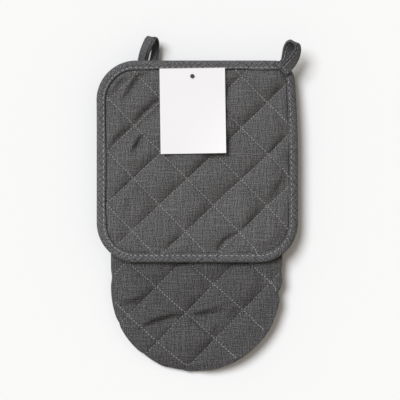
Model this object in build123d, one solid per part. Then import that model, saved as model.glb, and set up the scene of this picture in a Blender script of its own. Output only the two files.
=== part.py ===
from build123d import *
import os
from math import asin, cos, radians, sin

# A quilted kitchen set as it is sold: a thumbless oven mitt lies palm down, a square
# pot holder lies on its back, and a card hang tag is pinned to the pot holder.
#
# Frame: millimetres. The origin is on the table under the middle of the mitt, +Y points
# towards the cuff and the hanging loops, +X to the right of someone looking down, +Z up.

# --- Mitt: a flat bag with a round end, open at the cuff
mitt_width = 170.0
mitt_length = 295.0
mitt_thickness = 18.0
mitt_edge_round = 8.0            # roll of the cloth over the side seam
mitt_cloth = 1.0                 # outer cloth
mitt_wadding = 2.8
mitt_lining = 0.6
cuff_binding_width = 10.0
cuff_binding_cloth = 0.6
mitt_quilt_pitch = 39.0          # between parallel quilting lines
back_quilt_turns = (-41.5, 45.5)     # directions of the two families of lines
back_quilt_points = ((-7.4, -41.4), (-17.1, -41.4))      # one point on each family
palm_quilt_turns = (-43.0, 43.0)     # the origin is under the middle of a diamond
seam_inset = 2.2                 # side seam stitching, in from the mitt's edge

# --- Pot holder: a rounded square with a folded binding
holder_size = 200.0
holder_corner = 39.5
loop_corner = 19.5               # the tighter corner that carries the loop
holder_centre = (1.5, 60.0)
holder_gap = 0.3                 # between the mitt's back and the pot holder
holder_binding_height = 7.0
holder_binding_width = 8.5
holder_binding_cloth = 0.8
holder_puff = 0.8                # quilting stands this far above the binding
holder_cloth = 0.8
holder_quilt_pitch = 37.0
holder_quilt_turns = (-46.4, 43.1)
holder_quilt_points = ((18.7, 66.1), (-36.1, 67.5))

# --- Quilting: a shallow channel with the stitched thread on its floor
channel_depth = 1.6
channel_top = 22.0
channel_floor = 1.0
thread_width = 0.6
thread_height = 0.4

# --- Loops: tape folded into a drop shape and rolled over to one side
tape_width = 10.0
tape_thickness = 1.6
tape_pinch = 5.0                 # the tape is gathered to this width at its sewn base
tape_root = 1.0                  # solid tape between the loop's base and its opening
tail_length = 9.0                # sewn ends of the tape
mitt_loop_x = -49.0
mitt_loop_reach = 33.0
mitt_loop_round = 5.6            # inside radius of the loop's end
mitt_loop_turn = 81.0            # the loop points this way in plan
mitt_loop_slope = -8.0
mitt_loop_roll = 68.0
mitt_loop_gap = 2.6              # base of the loop to the cuff, so that it can swing
mitt_tail_proud = 0.5            # the tail stands out of the mouth
holder_loop_reach = 27.0
holder_loop_round = 7.0
holder_loop_turn = 88.0
holder_loop_slope = -3.0
holder_loop_roll = -68.0
holder_hinge_inset = -0.6        # fold line of the loop, just outside the corner
holder_loop_gap = 2.4            # base of the loop to its fold line
holder_tail_thickness = 1.2
bartack_length = 13.0
bartack_width = 2.4
bartack_inset = 4.5

# --- Hang tag: a card turning on a pin near its top edge
card_width = 64.5
card_length = 84.2
card_thickness = 0.5
card_turn = 0.8
card_lift = 0.4                  # above the quilting
card_edge_to_pin = 7.9
pin_place = (-4.1, 144.0)
pin_head_radius = 2.1
pin_head_height = 0.8
pin_shank_radius = 0.6
pin_hole_radius = 1.5
pin_bar_length = 9.0
pin_head_gap = 0.3               # between the card and the pin's head

# --- Heights worked out from the sizes above
seam_height = mitt_thickness / 2
cuff_end = mitt_length / 2
layers_end = cuff_end - cuff_binding_cloth
round_centre = mitt_width / 2 - mitt_length / 2
holder_bottom = mitt_thickness + holder_gap
holder_middle = holder_bottom + holder_puff + holder_binding_height / 2
binding_top = holder_middle + holder_binding_height / 2
holder_top = binding_top + holder_puff
card_bottom = holder_top + card_lift
layers = mitt_cloth + mitt_wadding + mitt_lining
mouth_top = mitt_thickness - layers - cuff_binding_cloth
long_bar = 2 * mitt_length

cloth_colour = Color(0.33, 0.33, 0.33)
binding_colour = Color(0.38, 0.38, 0.40)
thread_colour = Color(0.72, 0.72, 0.72)
wadding_colour = Color(0.90, 0.90, 0.88)
layer_colours = {"cloth": cloth_colour, "wadding": wadding_colour, "lining": cloth_colour,
                 "quilting": thread_colour}


def save(solid, name, colour):
    """Write one piece to its own file."""
    solid.label = name
    solid.color = colour
    export_step(solid, f"parts/{name}.step")
    print(f"{name:28s} {len(solid.solids())} solid, {solid.volume / 1000:8.2f} cm3")


def bar(turn, point, bottom, sides):
    """A straight bar along one quilting line; sides are (half width, height) pairs."""
    right = [(width, height) for width, height in sides]
    left = [(-width, height) for width, height in reversed(sides)]
    profile = make_face(Polyline(*right, *left, close=True))
    along_x = extrude(Plane.YZ * profile, long_bar / 2, both=True)
    return Location((point[0], point[1], bottom), (0, 0, turn)) * along_x


def quilt_bars(turns, points, pitch, reach, bottom, sides):
    """Bars on both families of parallel lines, out to a distance from their points."""
    bars = []
    for turn, point in zip(turns, points):
        for step in range(-int(reach // pitch), int(reach // pitch) + 1):
            across = radians(turn + 90)
            place = (point[0] + step * pitch * cos(across), point[1] + step * pitch * sin(across))
            bars.append(bar(turn, place, bottom, sides))
    return bars


def channel_sides():
    """Section of a quilting channel, carried on above the cloth to cut it cleanly."""
    spread = (channel_top - channel_floor) / 2
    return [(channel_floor / 2, 0), (channel_floor / 2 + 2 * spread, 2 * channel_depth)]


def thread_sides():
    return [(thread_width / 2, 0), (thread_width / 2, thread_height)]


def slab(size_x, size_y, low, high, centre=(0, 0)):
    """A box between two heights."""
    return Pos(centre[0], centre[1], (low + high) / 2) * Box(size_x, size_y, high - low)


# --- Mitt

def mitt_bag(inset, end=layers_end):
    """The mitt's whole form, shrunk by inset everywhere but at the cuff."""
    radius = mitt_width / 2 - inset
    straight = Pos(0, (round_centre + end) / 2) * Rectangle(2 * radius, end - round_centre)
    outline = straight + Pos(0, round_centre) * Circle(radius)
    body = extrude(Pos(0, 0, inset) * outline, mitt_thickness - 2 * inset)
    rims = body.edges().filter_by(Plane.XY)
    rims = [edge for edge in rims if edge.center().Y < end - 1]
    return fillet(rims, mitt_edge_round - inset)


def upper_half(solid):
    return solid & slab(2 * mitt_width, 2 * mitt_length, seam_height, 2 * mitt_thickness)


def to_palm(solid):
    return mirror(solid, about=Plane.XY.offset(seam_height))


quilt_end = cuff_end - cuff_binding_width - 3
quilt_zone = Pos(0, quilt_end - mitt_length) * Box(2 * mitt_width, 2 * mitt_length, 4 * mitt_thickness)


def panel_layers(turns, points, outer, under_cloth, under_wadding, pocket):
    """One quilted panel of the mitt, lying in the upper half: its cloth, wadding and lining."""
    quilted = []
    for solid, drop in ((outer, 0), (under_cloth, mitt_cloth)):
        floor = mitt_thickness - channel_depth - drop
        bars = quilt_bars(turns, points, mitt_quilt_pitch, 200, floor, channel_sides())
        quilted.append(upper_half(solid).cut(*[channel & quilt_zone for channel in bars]))
    threads = quilt_bars(turns, points, mitt_quilt_pitch, 200, mitt_thickness - channel_depth,
                         thread_sides())
    grid = threads[0].fuse(*threads[1:])
    return {"cloth": quilted[0] - quilted[1],
            "wadding": quilted[1] - under_wadding,
            "lining": upper_half(under_wadding) - pocket,
            "quilting": grid & mitt_bag(thread_height) & quilt_zone}


def palm_quilt_points():
    """Points half a pitch from the origin, square to each family of lines."""
    reach = mitt_quilt_pitch / 2
    across = [radians(turn + 90) for turn in palm_quilt_turns]
    return [(reach * cos(angle), reach * sin(angle)) for angle in across]


def make_mitt():
    outer = mitt_bag(0)
    under_cloth = mitt_bag(mitt_cloth)
    under_wadding = mitt_bag(mitt_cloth + mitt_wadding)
    pocket = mitt_bag(layers)

    # The binding folds over the cuff: outside skin, end and inside skin in one piece
    fold = cuff_binding_cloth
    cuff_zone = slab(2 * mitt_width, cuff_binding_width, -1, 2 * mitt_thickness,
                     (0, cuff_end - cuff_binding_width / 2))
    binding = (mitt_bag(0, cuff_end) - mitt_bag(layers + fold, cuff_end)) & cuff_zone
    binding = binding - (mitt_bag(fold) - pocket)
    stitch_line = slab(2 * mitt_width, thread_width, -1, 2 * mitt_thickness,
                       (0, cuff_end - cuff_binding_width + 2))
    cuff_stitching = (mitt_bag(0, cuff_end) - mitt_bag(fold / 2, cuff_end)) & stitch_line

    # Side seam: a thread running round inside the edge, at the height where the panels meet
    seam_ring = mitt_bag(seam_inset) - mitt_bag(seam_inset + thread_width)
    seam_low = seam_height - thread_height / 2
    seam_zone = slab(2 * mitt_width, 2 * mitt_length, seam_low, seam_low + thread_height,
                     (0, layers_end - mitt_length - 1))
    seam_stitching = seam_ring & seam_zone

    back = panel_layers(back_quilt_turns, back_quilt_points, outer, under_cloth, under_wadding, pocket)
    palm = panel_layers(palm_quilt_turns, palm_quilt_points(), outer, under_cloth, under_wadding, pocket)
    for layer, solid in back.items():
        save(solid - binding - seam_stitching, f"mitt_back_{layer}", layer_colours[layer])
    for layer, solid in palm.items():
        save(to_palm(solid) - binding - seam_stitching, f"mitt_palm_{layer}", layer_colours[layer])
    save(binding - cuff_stitching, "mitt_cuff_binding", binding_colour)
    save(cuff_stitching, "mitt_cuff_stitching", thread_colour)
    save(seam_stitching, "mitt_seam_stitching", thread_colour)

    # The loop's two tape ends, sewn down one beside the other inside the mouth
    tail_end = cuff_end + mitt_tail_proud
    tail = slab(tape_width, tail_length, mouth_top - tape_thickness, mouth_top,
                (mitt_loop_x, tail_end - tail_length / 2))
    save(tail, "mitt_loop_tail", binding_colour)


# --- Pot holder

def towards_loop(corner):
    """How far a corner lies along the diagonal that ends at the loop."""
    return corner.X + corner.Y


def holder_square(inset, low, high):
    """The rounded square, shrunk by inset, between two heights above the pot holder's middle."""
    side = holder_size - 2 * inset
    square = Rectangle(side, side)
    outline = fillet(square.vertices().sort_by(towards_loop)[:3], holder_corner - inset)
    outline = fillet(outline.vertices().sort_by(towards_loop)[-1], loop_corner - inset)
    return Pos(*holder_centre, holder_middle + low) * extrude(outline, high - low)


def round_rim(solid, radius):
    """Round the outline of a slab's top face."""
    return fillet(solid.faces().sort_by(Axis.Z)[-1].edges(), radius)


def quilted_half(drop):
    """Upper half of the quilted filling, shrunk by drop under its cloth."""
    half = holder_binding_height / 2 - holder_binding_cloth
    base = holder_square(holder_binding_cloth, 0, half - drop)
    puff_high = holder_binding_height / 2 + holder_puff - drop
    puff = holder_square(holder_binding_width + 0.1 + drop, 0, puff_high)
    puff = round_rim(puff, puff_high - half)
    floor = holder_top - channel_depth - drop
    bars = quilt_bars(holder_quilt_turns, holder_quilt_points, holder_quilt_pitch, 170, floor,
                      channel_sides())
    return base + puff.cut(*bars)


def to_back(solid):
    return mirror(solid, about=Plane.XY.offset(holder_middle))


def make_holder():
    outer = quilted_half(0)
    inner = quilted_half(holder_cloth)
    front_cloth = outer - inner
    wadding = inner + to_back(inner)

    half = holder_binding_height / 2
    block = holder_square(0, -half, half)
    block = fillet(block.edges().filter_by(Plane.XY), 2.5)
    window = holder_square(holder_binding_width, -half, half)
    sheath = holder_square(holder_binding_cloth, holder_binding_cloth - half, half - holder_binding_cloth)
    binding = block - window - sheath

    # Edge stitching shows on both faces of the binding
    line = holder_binding_width - 2
    ring = holder_square(line - thread_width, half - thread_height, half)
    ring = ring - holder_square(line, half - thread_height, half)
    stitching = ring + to_back(ring)
    binding = binding - stitching

    threads = quilt_bars(holder_quilt_turns, holder_quilt_points, holder_quilt_pitch, 170,
                         holder_top - channel_depth, thread_sides())
    grid = threads[0].fuse(*threads[1:])
    quilting = grid & holder_square(holder_binding_width + 1.5, 0, holder_top)

    pin, pin_core = tag_pin()
    save(front_cloth - pin_core, "holder_front_cloth", cloth_colour)
    save(to_back(front_cloth), "holder_back_cloth", cloth_colour)
    save(wadding - pin_core, "holder_wadding", wadding_colour)
    save(binding, "holder_binding", binding_colour)
    save(stitching, "holder_binding_stitching", thread_colour)
    save(quilting - pin_core, "holder_front_quilting", thread_colour)
    save(to_back(quilting), "holder_back_quilting", thread_colour)
    tail, stitches = loop_tail_and_bartack()
    save(tail, "holder_loop_tail", binding_colour)
    save(stitches, "holder_loop_bartack", thread_colour)
    save(pin, "tag_pin", Color(0.05, 0.05, 0.05))


def corner_point(inset):
    """A point on the diagonal of the pot holder's loop corner, in from its edge."""
    offset = holder_size / 2 - loop_corner + (loop_corner - inset) * cos(radians(45))
    return holder_centre[0] + offset, holder_centre[1] + offset


def corner_strip(inset, length, width, low, height):
    """A strip lying square across the diagonal of the loop corner."""
    x, y = corner_point(inset)
    return Location((x, y, low + height / 2), (0, 0, -45)) * Box(length, width, height)


def loop_tail_and_bartack():
    """The loop's sewn ends on the binding's corner, and the close stitching that holds them."""
    inner_inset = holder_hinge_inset + tail_length
    middle = (holder_hinge_inset + 0.1 + inner_inset) / 2
    tail = corner_strip(middle, tape_width + 4, tail_length - 0.1, binding_top, holder_tail_thickness)
    stitches = corner_strip(bartack_inset, bartack_length, bartack_width,
                            binding_top + holder_tail_thickness, thread_height)
    return tail, stitches


def tag_pin():
    """The tag's pin, with its cross bar in the wadding, and the part of it inside the cloth."""
    x, y = pin_place
    head_low = card_bottom + card_thickness + pin_head_gap
    head = Pos(x, y, head_low + pin_head_height / 2) * Cylinder(pin_head_radius, pin_head_height)
    head = fillet(head.faces().sort_by(Axis.Z)[-1].edges(), pin_head_height / 2)
    shank_length = head_low - holder_middle
    shank = Pos(x, y, holder_middle + shank_length / 2) * Cylinder(pin_shank_radius, shank_length)
    cross = Location((x, y, holder_middle), (0, 90, 0)) * Cylinder(pin_shank_radius, pin_bar_length)
    core = shank + cross
    return head + core, core


# --- Loops

def drop(reach, radius, grow):
    """A drop outline from a point to a round end, grown sideways all round."""
    centre = reach - tape_thickness - radius
    point = -grow * centre / radius
    half_angle = asin(radius / centre)
    touch_x = centre - (radius + grow) * sin(half_angle)
    touch_y = (radius + grow) * cos(half_angle)
    legs = Polyline((touch_x, -touch_y), (point, 0), (touch_x, touch_y))
    end = ThreePointArc((touch_x, touch_y), (centre + radius + grow, 0), (touch_x, -touch_y))
    return make_face(legs + end)


def tape_band(reach, radius, inside, outside):
    """Tape standing on edge round a drop outline, gathered and cut square at its base."""
    band = extrude(drop(reach, radius, outside) - drop(reach, radius, inside), tape_width / 2, both=True)
    edge = tape_width / 2
    pinch = tape_pinch / 2
    gather = Polyline((-tape_root, -pinch), (-tape_root, pinch), (edge, edge), (reach, edge),
                      (reach, -edge), (edge, -edge), close=True)
    return band & extrude(Plane.XZ * make_face(gather), 2 * reach, both=True)


def edge_thread(reach, radius):
    """Two threads let into the outside of the tape, one near each of its edges."""
    skin = tape_band(reach, radius, tape_thickness - thread_height, tape_thickness)
    level = tape_width / 2 - 1.6
    rows = [Pos(reach, 0, side * level) * Box(reach * 1.8, 4 * reach, thread_width) for side in (-1, 1)]
    return skin & (rows[0] + rows[1])


def loop_place(base, turn, slope, roll):
    """Base point, then turned in plan, sloped, and rolled about the loop's own length."""
    return Pos(*base) * Rot(0, 0, turn) * Rot(0, -slope, 0) * Rot(roll, 0, 0)


def make_loops():
    mitt_base = (mitt_loop_x, cuff_end + mitt_loop_gap + tape_root, mouth_top)
    corner_x, corner_y = corner_point(holder_hinge_inset - holder_loop_gap - tape_root)
    holder_base = (corner_x, corner_y, binding_top + holder_tail_thickness)
    mitt_place = loop_place(mitt_base, mitt_loop_turn, mitt_loop_slope, mitt_loop_roll)
    holder_place = loop_place(holder_base, holder_loop_turn, holder_loop_slope, holder_loop_roll)
    loops = {"mitt": (mitt_place, mitt_loop_reach, mitt_loop_round),
             "holder": (holder_place, holder_loop_reach, holder_loop_round)}
    for owner, (place, reach, radius) in loops.items():
        tape = tape_band(reach, radius, 0, tape_thickness)
        thread = edge_thread(reach, radius)
        save(place * (tape - thread), f"{owner}_loop_tape", binding_colour)
        save(place * thread, f"{owner}_loop_stitching", thread_colour)


# --- Hang tag

def make_tag():
    card = Pos(0, card_edge_to_pin - card_length / 2) * Rectangle(card_width, card_length)
    card = card - Circle(pin_hole_radius)
    solid = Location((*pin_place, card_bottom), (0, 0, card_turn)) * extrude(card, card_thickness)
    save(solid, "hang_tag_card", Color(0.95, 0.94, 0.95))


os.makedirs("parts", exist_ok=True)
make_mitt()
make_holder()
make_loops()
make_tag()
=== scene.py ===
import math
import bpy
import numpy as np
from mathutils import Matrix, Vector, geometry
from mathutils.bvhtree import BVHTree


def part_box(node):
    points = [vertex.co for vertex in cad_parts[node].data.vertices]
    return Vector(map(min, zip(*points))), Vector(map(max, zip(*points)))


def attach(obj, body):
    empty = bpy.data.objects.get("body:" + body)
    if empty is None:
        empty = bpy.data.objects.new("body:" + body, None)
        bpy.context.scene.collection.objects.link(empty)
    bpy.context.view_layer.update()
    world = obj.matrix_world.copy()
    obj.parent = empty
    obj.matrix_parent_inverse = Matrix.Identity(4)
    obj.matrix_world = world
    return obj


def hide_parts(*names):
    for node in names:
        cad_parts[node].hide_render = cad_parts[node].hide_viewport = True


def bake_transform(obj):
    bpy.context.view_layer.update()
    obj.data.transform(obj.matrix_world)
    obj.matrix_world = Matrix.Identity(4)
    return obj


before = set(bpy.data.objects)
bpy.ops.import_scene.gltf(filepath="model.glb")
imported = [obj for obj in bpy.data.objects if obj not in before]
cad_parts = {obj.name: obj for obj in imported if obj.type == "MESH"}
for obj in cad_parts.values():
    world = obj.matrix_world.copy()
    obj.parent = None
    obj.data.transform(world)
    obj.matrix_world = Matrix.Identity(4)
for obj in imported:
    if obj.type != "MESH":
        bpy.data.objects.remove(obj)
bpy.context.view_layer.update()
bpy.ops.object.select_all(action="DESELECT")
scene = bpy.context.scene

mm = 0.001  # lengths below are in millimetres, meshes in metres


def cadBox(node):
    low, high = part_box(node)
    return np.array(low) / mm, np.array(high) / mm


view = {
    "aim": (3.5, 21.9, 22.0),
    "distance": 1500.0,
    "across": 396.0,           # how much of the table the camera sees
    "sensor": 36.0,
    "keyFrom": (-0.5, 0.4, 1.0),
    "keyPower": 2.63,
    "keyAngle": 30.0,
    "keyColour": (0.972, 1.0, 1.042),
    "fill": 0.29,
    "fillColour": (1.08, 1.0, 0.88),
    "backdrop": (0.96, 0.96, 0.96),
    "table": 4000.0,
    "tableColour": (0.955, 0.955, 0.955),
}


def setCamera():
    # straight above the set
    x, y, z = view["aim"]
    bpy.ops.object.camera_add(location=(x * mm, y * mm, (z + view["distance"]) * mm), rotation=(0, 0, 0))
    camera = bpy.context.object
    camera.data.sensor_width = view["sensor"]
    camera.data.lens = view["sensor"] * view["distance"] / view["across"]
    scene.camera = camera


def setLight():
    bpy.ops.object.light_add(type="SUN", location=view["keyFrom"])
    lamp = bpy.context.object
    lamp.rotation_euler = Vector(view["keyFrom"]).to_track_quat("Z", "Y").to_euler()
    lamp.data.energy = view["keyPower"]
    lamp.data.angle = math.radians(view["keyAngle"])
    lamp.data.color = view["keyColour"]
    world = bpy.data.worlds.new("studio")
    scene.world = world
    world.use_nodes = True
    tree = world.node_tree
    sky = tree.nodes["Background"]
    sky.inputs["Color"].default_value = (*view["fillColour"], 1)
    sky.inputs["Strength"].default_value = view["fill"]
    white = tree.nodes.new("ShaderNodeBackground")
    white.inputs["Color"].default_value = (*view["backdrop"], 1)
    rays = tree.nodes.new("ShaderNodeLightPath")
    seen = tree.nodes.new("ShaderNodeMath")
    seen.operation = "MAXIMUM"
    mix = tree.nodes.new("ShaderNodeMixShader")
    tree.links.new(rays.outputs["Is Camera Ray"], seen.inputs[0])
    tree.links.new(rays.outputs["Is Glossy Ray"], seen.inputs[1])
    tree.links.new(seen.outputs[0], mix.inputs[0])
    tree.links.new(sky.outputs[0], mix.inputs[1])
    tree.links.new(white.outputs[0], mix.inputs[2])
    tree.links.new(mix.outputs[0], tree.nodes["World Output"].inputs["Surface"])
    scene.view_settings.view_transform = "Standard"


def setTable():
    bpy.ops.mesh.primitive_plane_add(size=view["table"] * mm, location=(0, 0, 0))
    table = bpy.context.object
    table.name = "table"
    paint = bpy.data.materials.new("tableTop")
    paint.use_nodes = True
    shader = paint.node_tree.nodes["Principled BSDF"]
    shader.inputs["Base Color"].default_value = (*view["tableColour"], 1)
    shader.inputs["Roughness"].default_value = 0.9
    shader.inputs["Specular IOR Level"].default_value = 0.0
    table.data.materials.append(paint)


setCamera()
setLight()
setTable()
print("camera, light and table set")


def addNode(tree, kind, values=None, **settings):
    node = tree.nodes.new(kind)
    for key, value in settings.items():
        setattr(node, key, value)
    for key, value in (values or {}).items():
        if isinstance(value, bpy.types.NodeSocket):
            tree.links.new(value, node.inputs[key])
        else:
            node.inputs[key].default_value = value
    return node


def calc(tree, operation, first, second=0.0, third=0.0):
    return addNode(tree, "ShaderNodeMath", {0: first, 1: second, 2: third}, operation=operation).outputs[0]


def scaled(tree, vector, scale, turn=0.0):
    node = addNode(tree, "ShaderNodeMapping", {"Vector": vector, "Scale": scale, "Rotation": (0, 0, turn)})
    return node.outputs[0]


def streaks(tree, vector, width, length, detail=2.0):
    # noise drawn out along y, in threads of one width
    pulled = scaled(tree, vector, (1 / width, 1 / length, 1))
    return addNode(tree, "ShaderNodeTexNoise", {"Vector": pulled, "Scale": 1.0, "Detail": detail,
                                                "Roughness": 0.6}, noise_dimensions="2D").outputs["Fac"]


def threads(tree, across, along, length, salt):
    # one tone for every piece of every thread: threads are counted across, pieces along
    column = addNode(tree, "ShaderNodeMath", {0: across}, operation="FLOOR").outputs[0]
    piece = calc(tree, "ADD", calc(tree, "DIVIDE", along, length), calc(tree, "MULTIPLY", column, 0.618))
    piece = addNode(tree, "ShaderNodeMath", {0: piece}, operation="FLOOR").outputs[0]
    cell = addNode(tree, "ShaderNodeCombineXYZ", {"X": calc(tree, "ADD", column, salt), "Y": piece})
    noise = addNode(tree, "ShaderNodeTexWhiteNoise", {"Vector": cell.outputs[0]}, noise_dimensions="2D")
    return noise.outputs["Value"]


def contrast(tree, across, along, length, salt):
    # how much each thread differs from the one beside it, so no wide patches form
    beside = calc(tree, "SUBTRACT", across, 1.0)
    return calc(tree, "SUBTRACT", threads(tree, across, along, length, salt),
                threads(tree, beside, along, length, salt))


# the weave's two colours, the threads' pitch in millimetres, and how strongly each effect shows
linenInputs = {"Vector": (0, 0, 0), "Dark": (0, 0, 0, 1), "Light": (1, 1, 1, 1), "Thread": 0.88,
               "Slub": 0.5, "Mottle": 0.5, "Fleck": 1.0, "Grain": 0.5, "Speck": 0.3}


def makeLinenGroup():
    # woven linen on coordinates in millimetres: thread streaks both ways, slubs, mottling
    group = bpy.data.node_groups.new("linenWeave", "ShaderNodeTree")
    kinds = {"Vector": "NodeSocketVector", "Dark": "NodeSocketColor", "Light": "NodeSocketColor"}
    for name, value in linenInputs.items():
        kind = kinds.get(name, "NodeSocketFloat")
        group.interface.new_socket(name, in_out="INPUT", socket_type=kind).default_value = value
    group.interface.new_socket("Color", in_out="OUTPUT", socket_type="NodeSocketColor")
    group.interface.new_socket("Height", in_out="OUTPUT", socket_type="NodeSocketFloat")
    given = group.nodes.new("NodeGroupInput")
    out = group.nodes.new("NodeGroupOutput")
    place = given.outputs["Vector"]
    turned = scaled(group, place, (1, 1, 1), math.pi / 2)
    warp = streaks(group, place, 0.7, 5.0, 2.5)
    weft = streaks(group, turned, 0.7, 4.5, 2.5)
    cloud = addNode(group, "ShaderNodeTexNoise", {"Vector": place, "Scale": 0.12, "Detail": 3.0,
                                                  "Roughness": 0.6}, noise_dimensions="2D").outputs["Fac"]
    # over and under: each crossing shows one of its two yarns
    split = addNode(group, "ShaderNodeSeparateXYZ", {"Vector": place})
    x = calc(group, "DIVIDE", split.outputs["X"], given.outputs["Thread"])
    y = calc(group, "DIVIDE", split.outputs["Y"], given.outputs["Thread"])
    weave = calc(group, "MULTIPLY", calc(group, "SINE", calc(group, "MULTIPLY", x, math.pi)),
                 calc(group, "SINE", calc(group, "MULTIPLY", y, math.pi)))
    over = calc(group, "MULTIPLY_ADD", weave, 1.2, 0.5)
    yarn = addNode(group, "ShaderNodeMix", {"Factor": over, "A": warp, "B": weft}).outputs["Result"]
    shade = calc(group, "MULTIPLY_ADD", calc(group, "SUBTRACT", yarn, 0.5), given.outputs["Fleck"], 0.5)
    tone = addNode(group, "ShaderNodeMix", {"Factor": over, "A": contrast(group, x, y, 9.0, 0.5),
                                            "B": contrast(group, y, x, 8.0, 900.5)}).outputs["Result"]
    shade = calc(group, "MULTIPLY_ADD", tone, given.outputs["Grain"], shade)
    # a few long thick threads
    thick = calc(group, "MAXIMUM", threads(group, x, y, 26.0, 300.5), threads(group, y, x, 22.0, 600.5))
    thick = calc(group, "GREATER_THAN", thick, 0.975)
    shade = calc(group, "MULTIPLY_ADD", thick, given.outputs["Slub"], shade)
    clouds = calc(group, "SUBTRACT", cloud, 0.5)
    shade = calc(group, "MULTIPLY_ADD", clouds, given.outputs["Mottle"], shade)
    shade = calc(group, "MULTIPLY_ADD", contrast(group, x, y, 1.0, 400.5), given.outputs["Speck"], shade)
    mix = addNode(group, "ShaderNodeMix", {"Factor": shade, "A": given.outputs["Dark"],
                                           "B": given.outputs["Light"]}, data_type="RGBA")
    height = calc(group, "MULTIPLY_ADD", weave, 0.35, shade)
    group.links.new(mix.outputs["Result"], out.inputs["Color"])
    group.links.new(height, out.inputs["Height"])
    return group


linenGroup = makeLinenGroup()

cloths = {
    "holderLinen": {"dark": (0.045, 0.044, 0.045), "light": (0.172, 0.168, 0.168), "turn": 0, "slub": 0.3,
                    "mottle": 0.05, "fleck": 0.2, "grain": 0.75, "speck": 0.56, "bump": 0.3},
    "mittLinen": {"dark": (0.036, 0.035, 0.036), "light": (0.138, 0.134, 0.135), "turn": 0, "slub": 0.4,
                  "mottle": 0.05, "fleck": 0.2, "grain": 0.95, "speck": 0.7, "bump": 0.3},
    "liningCotton": {"dark": (0.060, 0.060, 0.062), "light": (0.110, 0.110, 0.112), "turn": 0, "slub": 0.0,
                     "mottle": 0.3, "fleck": 1.0, "grain": 0.3, "speck": 0.1, "bump": 0.25},
    "biasBinding": {"dark": (0.050, 0.049, 0.052), "light": (0.192, 0.189, 0.196), "turn": 45, "slub": 0.1,
                    "mottle": 0.1, "fleck": 0.2, "grain": 1.5, "speck": 0.9, "bump": 0.5},
    "loopTape": {"dark": (0.062, 0.061, 0.064), "light": (0.150, 0.147, 0.153), "turn": 45, "slub": 0.0,
                 "mottle": 0.05, "fleck": 0.2, "grain": 1.1, "speck": 0.9, "bump": 0.4},
}


def makeCloth(name):
    look = cloths[name]
    cloth = bpy.data.materials.new(name)
    cloth.use_nodes = True
    tree = cloth.node_tree
    shader = tree.nodes["Principled BSDF"]
    place = addNode(tree, "ShaderNodeUVMap").outputs["UV"]
    place = scaled(tree, place, (1 / mm, 1 / mm, 1), math.radians(look["turn"]))
    weave = addNode(tree, "ShaderNodeGroup", node_tree=linenGroup)
    tree.links.new(place, weave.inputs["Vector"])
    weave.inputs["Dark"].default_value = (*look["dark"], 1)
    weave.inputs["Light"].default_value = (*look["light"], 1)
    for effect in ("Slub", "Mottle", "Fleck", "Grain", "Speck"):
        weave.inputs[effect].default_value = look[effect.lower()]
    bump = addNode(tree, "ShaderNodeBump", {"Strength": look["bump"], "Distance": 0.3 * mm,
                                            "Height": weave.outputs["Height"]})
    tree.links.new(weave.outputs["Color"], shader.inputs["Base Color"])
    tree.links.new(bump.outputs["Normal"], shader.inputs["Normal"])
    shader.inputs["Roughness"].default_value = 0.92
    shader.inputs["Specular IOR Level"].default_value = 0.05
    return cloth


def makePlain(name, dark, light, roughness, scale, bump, specular=0.3):
    # a fibre or plastic finish from fine noise on object coordinates
    plain = bpy.data.materials.new(name)
    plain.use_nodes = True
    tree = plain.node_tree
    shader = tree.nodes["Principled BSDF"]
    place = addNode(tree, "ShaderNodeTexCoord").outputs["Object"]
    fibre = addNode(tree, "ShaderNodeTexNoise", {"Vector": place, "Scale": scale, "Detail": 4.0})
    mix = addNode(tree, "ShaderNodeMix", {"Factor": fibre.outputs["Fac"], "A": (*dark, 1), "B": (*light, 1)},
                  data_type="RGBA")
    relief = addNode(tree, "ShaderNodeBump", {"Strength": bump, "Distance": 0.1 * mm,
                                              "Height": fibre.outputs["Fac"]})
    tree.links.new(mix.outputs["Result"], shader.inputs["Base Color"])
    tree.links.new(relief.outputs["Normal"], shader.inputs["Normal"])
    shader.inputs["Roughness"].default_value = roughness
    shader.inputs["Specular IOR Level"].default_value = specular
    return plain


finishes = {name: makeCloth(name) for name in cloths}
finishes["thread"] = makePlain("sewingThread", (0.30, 0.30, 0.29), (0.52, 0.51, 0.50), 0.7, 1500.0, 0.5)
finishes["card"] = makePlain("tagCard", (0.875, 0.855, 0.872), (0.915, 0.893, 0.912), 0.65, 700.0, 0.12)
finishes["pin"] = makePlain("tagPin", (0.006, 0.004, 0.004), (0.012, 0.009, 0.009), 0.35, 900.0, 0.1, 0.5)
print("materials made")


def makePiece(name, points, faces, cornerUv, finish, body=None, slot=None, replaced=()):
    mesh = bpy.data.meshes.new(name)
    mesh.from_pydata((np.asarray(points) * mm).tolist(), [], [list(map(int, face)) for face in faces])
    if cornerUv is not None:
        layer = mesh.uv_layers.new(name="UVMap")
        layer.data.foreach_set("uv", (np.asarray(cornerUv, np.float32) * mm).ravel())
    for each in (finish if isinstance(finish, list) else [finish]):
        mesh.materials.append(finishes[each])
    mesh.shade_smooth()
    piece = bpy.data.objects.new(name, mesh)
    scene.collection.objects.link(piece)
    dress(piece, body, replaced)
    return piece


def dress(piece, body=None, replaced=()):
    if body:
        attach(piece, body)
    if replaced:
        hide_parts(*replaced)


def waves(xy, length, seed, count=16):
    # smooth uneven field of about unit height, from sine waves near one length
    draw = np.random.default_rng(seed)
    total = np.zeros(len(xy))
    for turn, phase, size in zip(draw.uniform(0, math.pi, count), draw.uniform(0, math.tau, count),
                                 draw.uniform(0.7, 1.4, count)):
        run = xy[:, 0] * math.cos(turn) + xy[:, 1] * math.sin(turn)
        total += np.sin(math.tau * run / (length * size) + phase)
    return total * math.sqrt(2 / count)


def unevenness(xy, look, seeds):
    # waves of several lengths laid over one another: each a height and a length
    return sum(size * waves(xy, length, seed) for (size, length), seed in zip(look["uneven"], seeds))


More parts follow.
